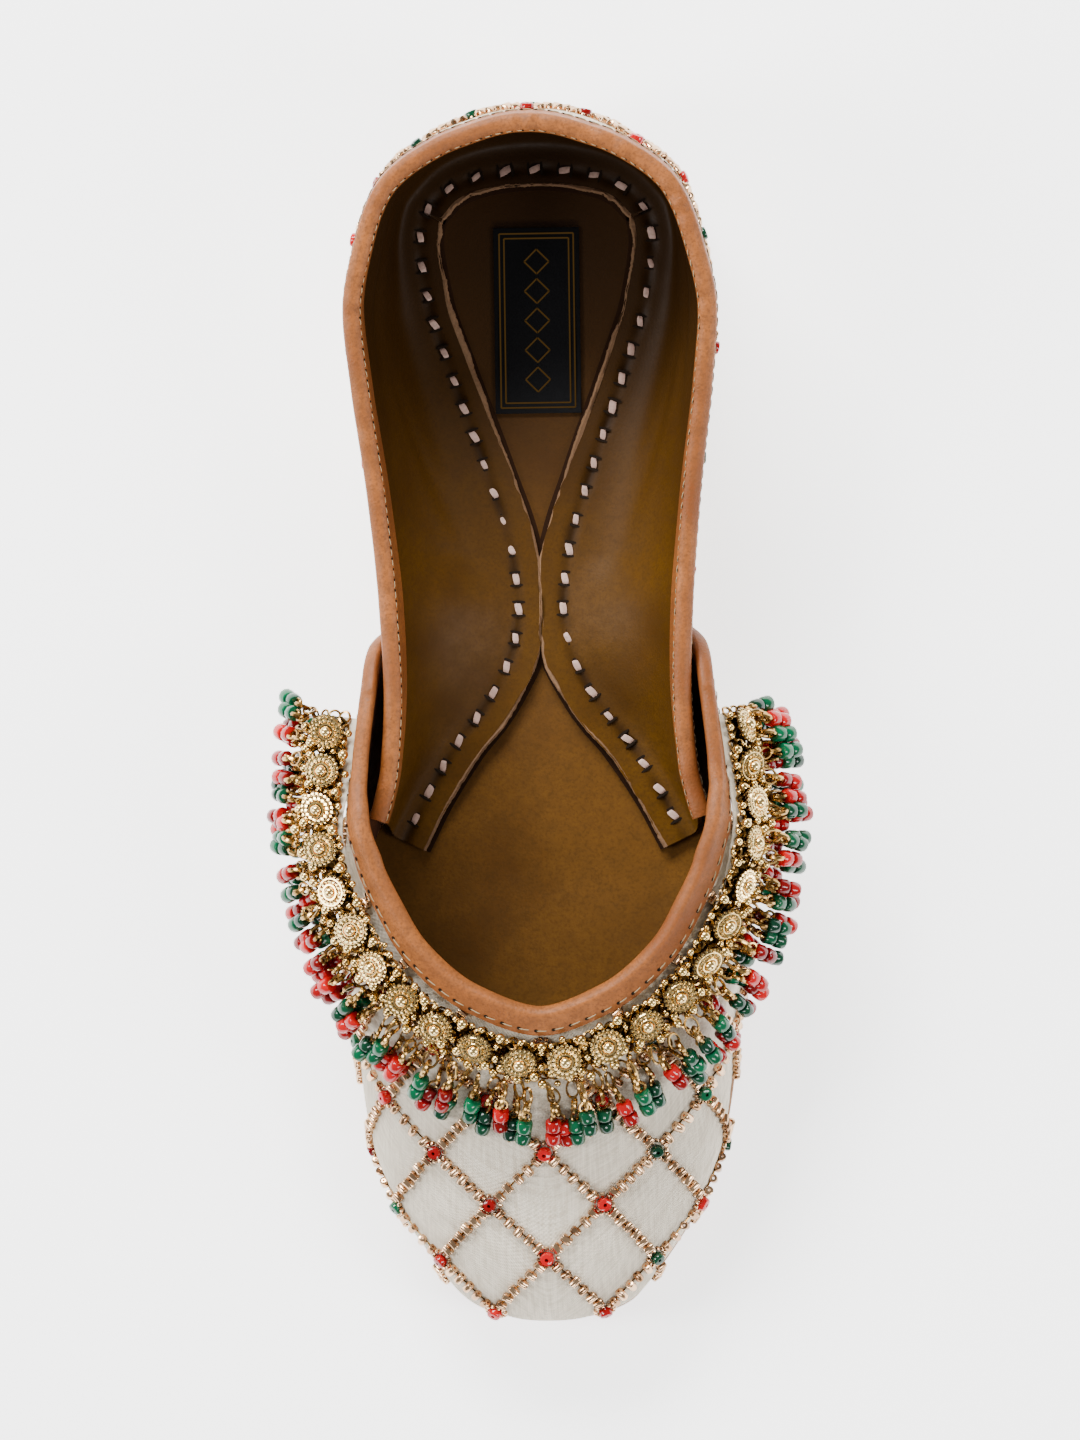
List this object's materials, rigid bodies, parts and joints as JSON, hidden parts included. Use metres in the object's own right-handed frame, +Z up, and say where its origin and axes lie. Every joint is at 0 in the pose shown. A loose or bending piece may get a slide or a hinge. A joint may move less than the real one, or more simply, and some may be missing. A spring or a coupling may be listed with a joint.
{
  "type": "mojari shoe",
  "caption": "Flat slip-on leather shoe with an hourglass sole, a low beaded fabric upper lined in leather, and a gold rosette chain with a bead fringe round its throat.",
  "frame": {"origin": "on the floor, under the middle of the shoe", "axes": "+Z up from the floor, -Y towards the toe, +Y towards the heel, X across the shoe"},
  "size_m": [0.1126, 0.2535, 0.0554],
  "materials": {
    "red_leather": "smooth, glossy, a little uneven",
    "natural_leather": "undyed cut edge, matt",
    "brown_leather": "smooth, satin, worn",
    "tan_leather": "smooth, satin, stitched",
    "ecru_fabric": "fine even weave under a lattice of seed beads",
    "gold_metal": "polished gold colour",
    "glass_beads": "lustrous red and green glass",
    "black_leather": "matt"
  },
  "bodies": {
    "root": {"heel_piece": "red_leather", "outsole": "red_leather", "midsole": "natural_leather", "insole": "brown_leather", "quarter": "ecru_fabric", "vamp": "ecru_fabric", "collar_binding": "tan_leather", "vamp_binding": "tan_leather", "rosette_chain": "gold_metal", "bead_fringe": "glass_beads", "heel_label": "black_leather"}
  },
  "joints": []
}
